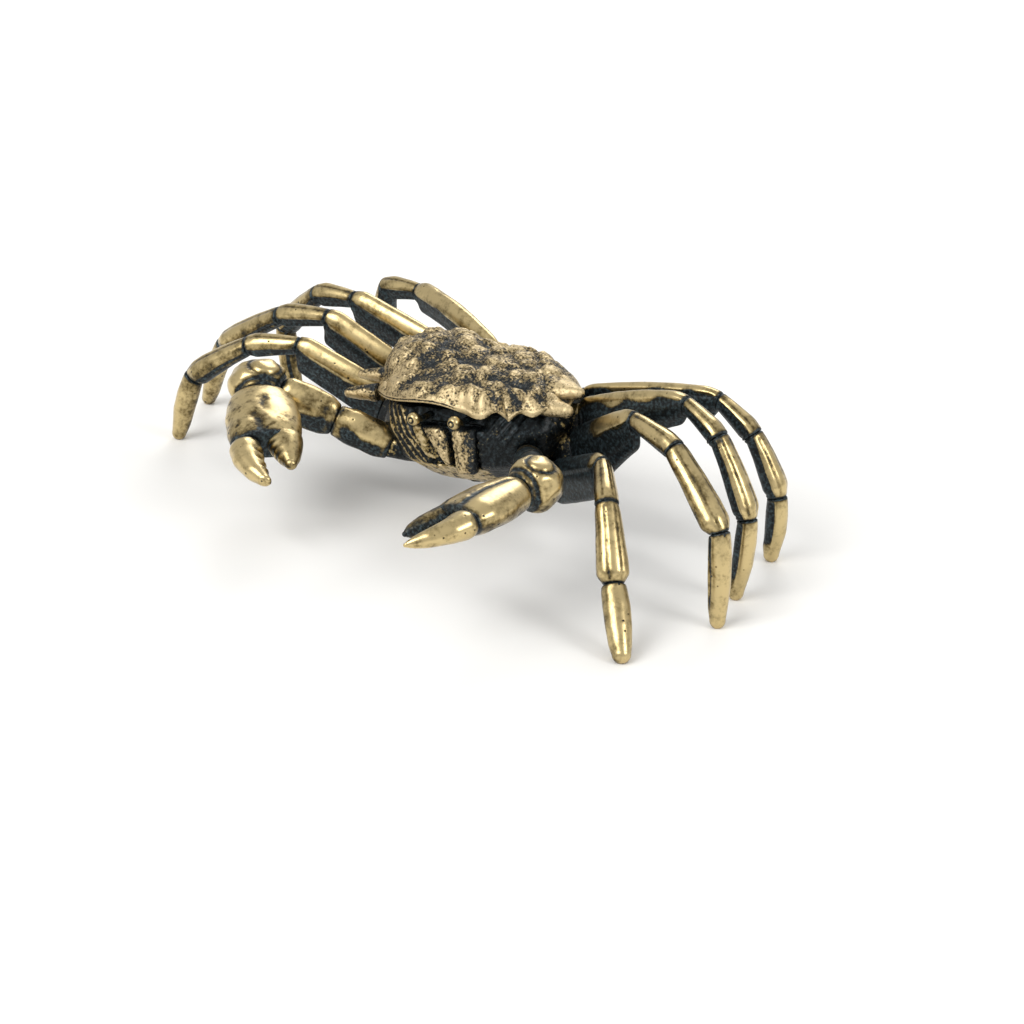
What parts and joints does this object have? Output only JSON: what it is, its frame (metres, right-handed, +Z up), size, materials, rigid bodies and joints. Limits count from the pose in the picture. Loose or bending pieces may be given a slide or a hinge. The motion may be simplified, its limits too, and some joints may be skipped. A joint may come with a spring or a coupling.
{
  "type": "crab figurine",
  "caption": "Solid brass crab standing on the tips of its segmented legs, with a lumpy toothed shell, stalked eyes, and an open and a closed claw.",
  "frame": {"origin": "under the middle of the bounding box, on the plane that the toes stand on", "axes": "+X to the crab's left, -Y the way the claws point, +Z up; the body itself is turned 10 degrees and its left flank is raised 9.5 degrees in this frame"},
  "size_m": [0.0503, 0.03, 0.0122],
  "materials": {
    "aged_brass": "matte, grainy, dark in the hollows",
    "dark_brass": "dark patina with worn edges",
    "satin_brass": "satin, worn bright on the ridges"
  },
  "bodies": {
    "root": {"shell": "aged_brass", "trunk": "dark_brass", "belly_flap": "dark_brass", "left_eye": "satin_brass", "right_eye": "satin_brass", "left_mouth_plate": "satin_brass", "right_mouth_plate": "satin_brass", "left_claw_base": "satin_brass", "left_claw_arm": "satin_brass", "left_claw_wrist": "satin_brass", "left_claw_palm": "satin_brass", "left_claw_finger": "satin_brass", "left_leg_1_upper": "satin_brass", "left_leg_1_knee": "satin_brass", "left_leg_1_shin": "satin_brass", "left_leg_1_toe": "satin_brass", "left_leg_2_upper": "satin_brass", "left_leg_2_knee": "satin_brass", "left_leg_2_shin": "satin_brass", "left_leg_2_toe": "satin_brass", "left_leg_3_upper": "satin_brass", "left_leg_3_knee": "satin_brass", "left_leg_3_shin": "satin_brass", "left_leg_3_toe": "satin_brass", "left_leg_4_upper": "satin_brass", "left_leg_4_knee": "satin_brass", "left_leg_4_shin": "satin_brass", "left_leg_4_toe": "satin_brass", "right_claw_base": "satin_brass", "right_claw_arm": "satin_brass", "right_claw_wrist": "satin_brass", "right_claw_palm": "satin_brass", "right_claw_finger": "satin_brass", "right_leg_1_upper": "satin_brass", "right_leg_1_knee": "satin_brass", "right_leg_1_shin": "satin_brass", "right_leg_1_toe": "satin_brass", "right_leg_2_upper": "satin_brass", "right_leg_2_knee": "satin_brass", "right_leg_2_shin": "satin_brass", "right_leg_2_toe": "satin_brass", "right_leg_3_upper": "satin_brass", "right_leg_3_knee": "satin_brass", "right_leg_3_shin": "satin_brass", "right_leg_3_toe": "satin_brass", "right_leg_4_upper": "satin_brass", "right_leg_4_knee": "satin_brass", "right_leg_4_shin": "satin_brass", "right_leg_4_toe": "satin_brass"}
  },
  "joints": []
}
